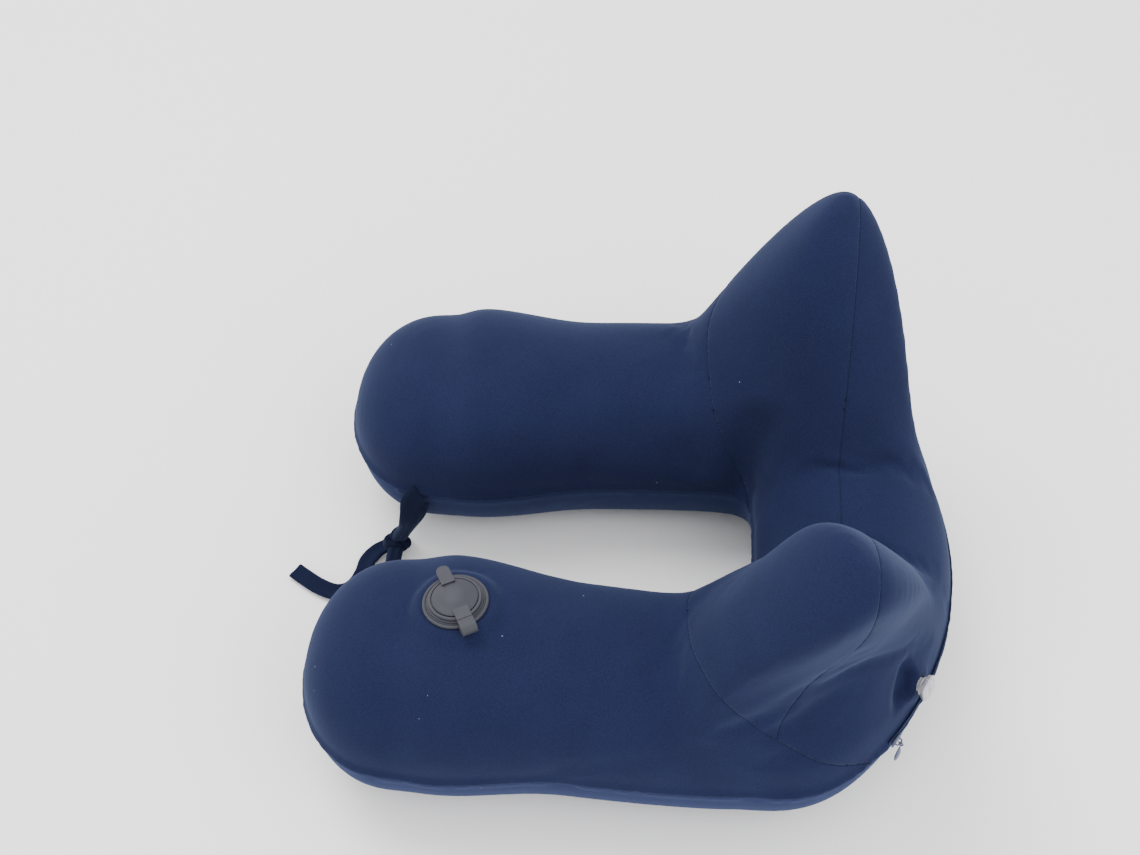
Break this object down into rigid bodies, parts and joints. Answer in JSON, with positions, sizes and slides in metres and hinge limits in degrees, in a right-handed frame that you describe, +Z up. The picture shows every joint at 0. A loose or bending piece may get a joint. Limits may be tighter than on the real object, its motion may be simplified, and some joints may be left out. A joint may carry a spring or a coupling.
{
  "type": "inflatable camp pillow",
  "caption": "U-shaped inflatable neck pillow with two tall rear fins, a zipped stretch-knit cover, a flip valve, a mouth valve and knotted tie straps.",
  "frame": {"origin": "middle of the footprint of the inflated pillow, on the surface it lies on", "axes": "+Z up, the arms point to -Y, the back and the fins are at +Y, and the arm with the flip valve is at +X"},
  "size_m": [0.3396, 0.417, 0.2398],
  "materials": {
    "cover": "stretch knit, matt",
    "cover_base": "stretch knit, matt, a little lighter",
    "strap": "folded knit tape, matt",
    "film": "flexible film, satin",
    "valve": "soft moulded, matt",
    "clear": "soft clear moulding",
    "zip_tape": "woven tape",
    "zip_coil": "moulded filament coil",
    "zip_metal": "lacquered die-cast"
  },
  "bodies": {
    "pillow": {"cover_arm_panel_left": "cover", "cover_arm_panel_right": "cover", "cover_fin_yoke": "cover", "cover_back_panel": "cover", "cover_base_panel": "cover_base", "bladder_upper_film": "film", "bladder_lower_film": "film", "zip_tape_upper": "zip_tape", "zip_tape_lower": "zip_tape", "zip_coil_upper": "zip_coil", "zip_coil_lower": "zip_coil", "zip_stop_start": "zip_metal", "zip_stop_end": "zip_metal", "valve_body": "valve", "mouth_valve_stem": "clear", "mouth_valve_flap": "clear", "tie_strap_left": "strap", "tie_strap_right": "strap", "tie_strap_tail": "strap", "tie_knot": "strap"},
    "plug_body": {"valve_plug": "valve", "valve_check_flap": "clear"},
    "cap_body": {"valve_cap": "valve"},
    "stopper": {"mouth_valve_stopper": "clear"},
    "slider": {"zip_slider": "zip_metal"},
    "pull": {"zip_pull": "zip_metal"}
  },
  "joints": [
    {"name": "plug_hinge", "type": "hinge", "parent": "pillow", "child": "plug_body", "pos_m": [0.10563, -0.09259, 0.12773], "axis": [-0.4536, 0.8902, 0.0416], "range_deg": [0, 105]},
    {"name": "cap_hinge", "type": "hinge", "parent": "plug_body", "child": "cap_body", "pos_m": [0.10458, -0.09322, 0.12987], "axis": [-0.4536, 0.8902, 0.0416], "range_deg": [0, 85]},
    {"name": "stopper_hinge", "type": "hinge", "parent": "pillow", "child": "stopper", "pos_m": [0.09884, 0.16818, 0.0679], "axis": [-0.8454, 0.5342, 0], "range_deg": [0, 120]},
    {"name": "slider_travel", "type": "hinge", "parent": "pillow", "child": "slider", "pos_m": [0, -0.013, 0.057], "axis": [0, 0, 1], "range_deg": [0, 73.44]},
    {"name": "pull_hinge", "type": "hinge", "parent": "slider", "child": "pull", "pos_m": [0.12497, 0.15452, 0.057], "axis": [0.8015, -0.5979, 0], "range_deg": [0, 150]}
  ]
}
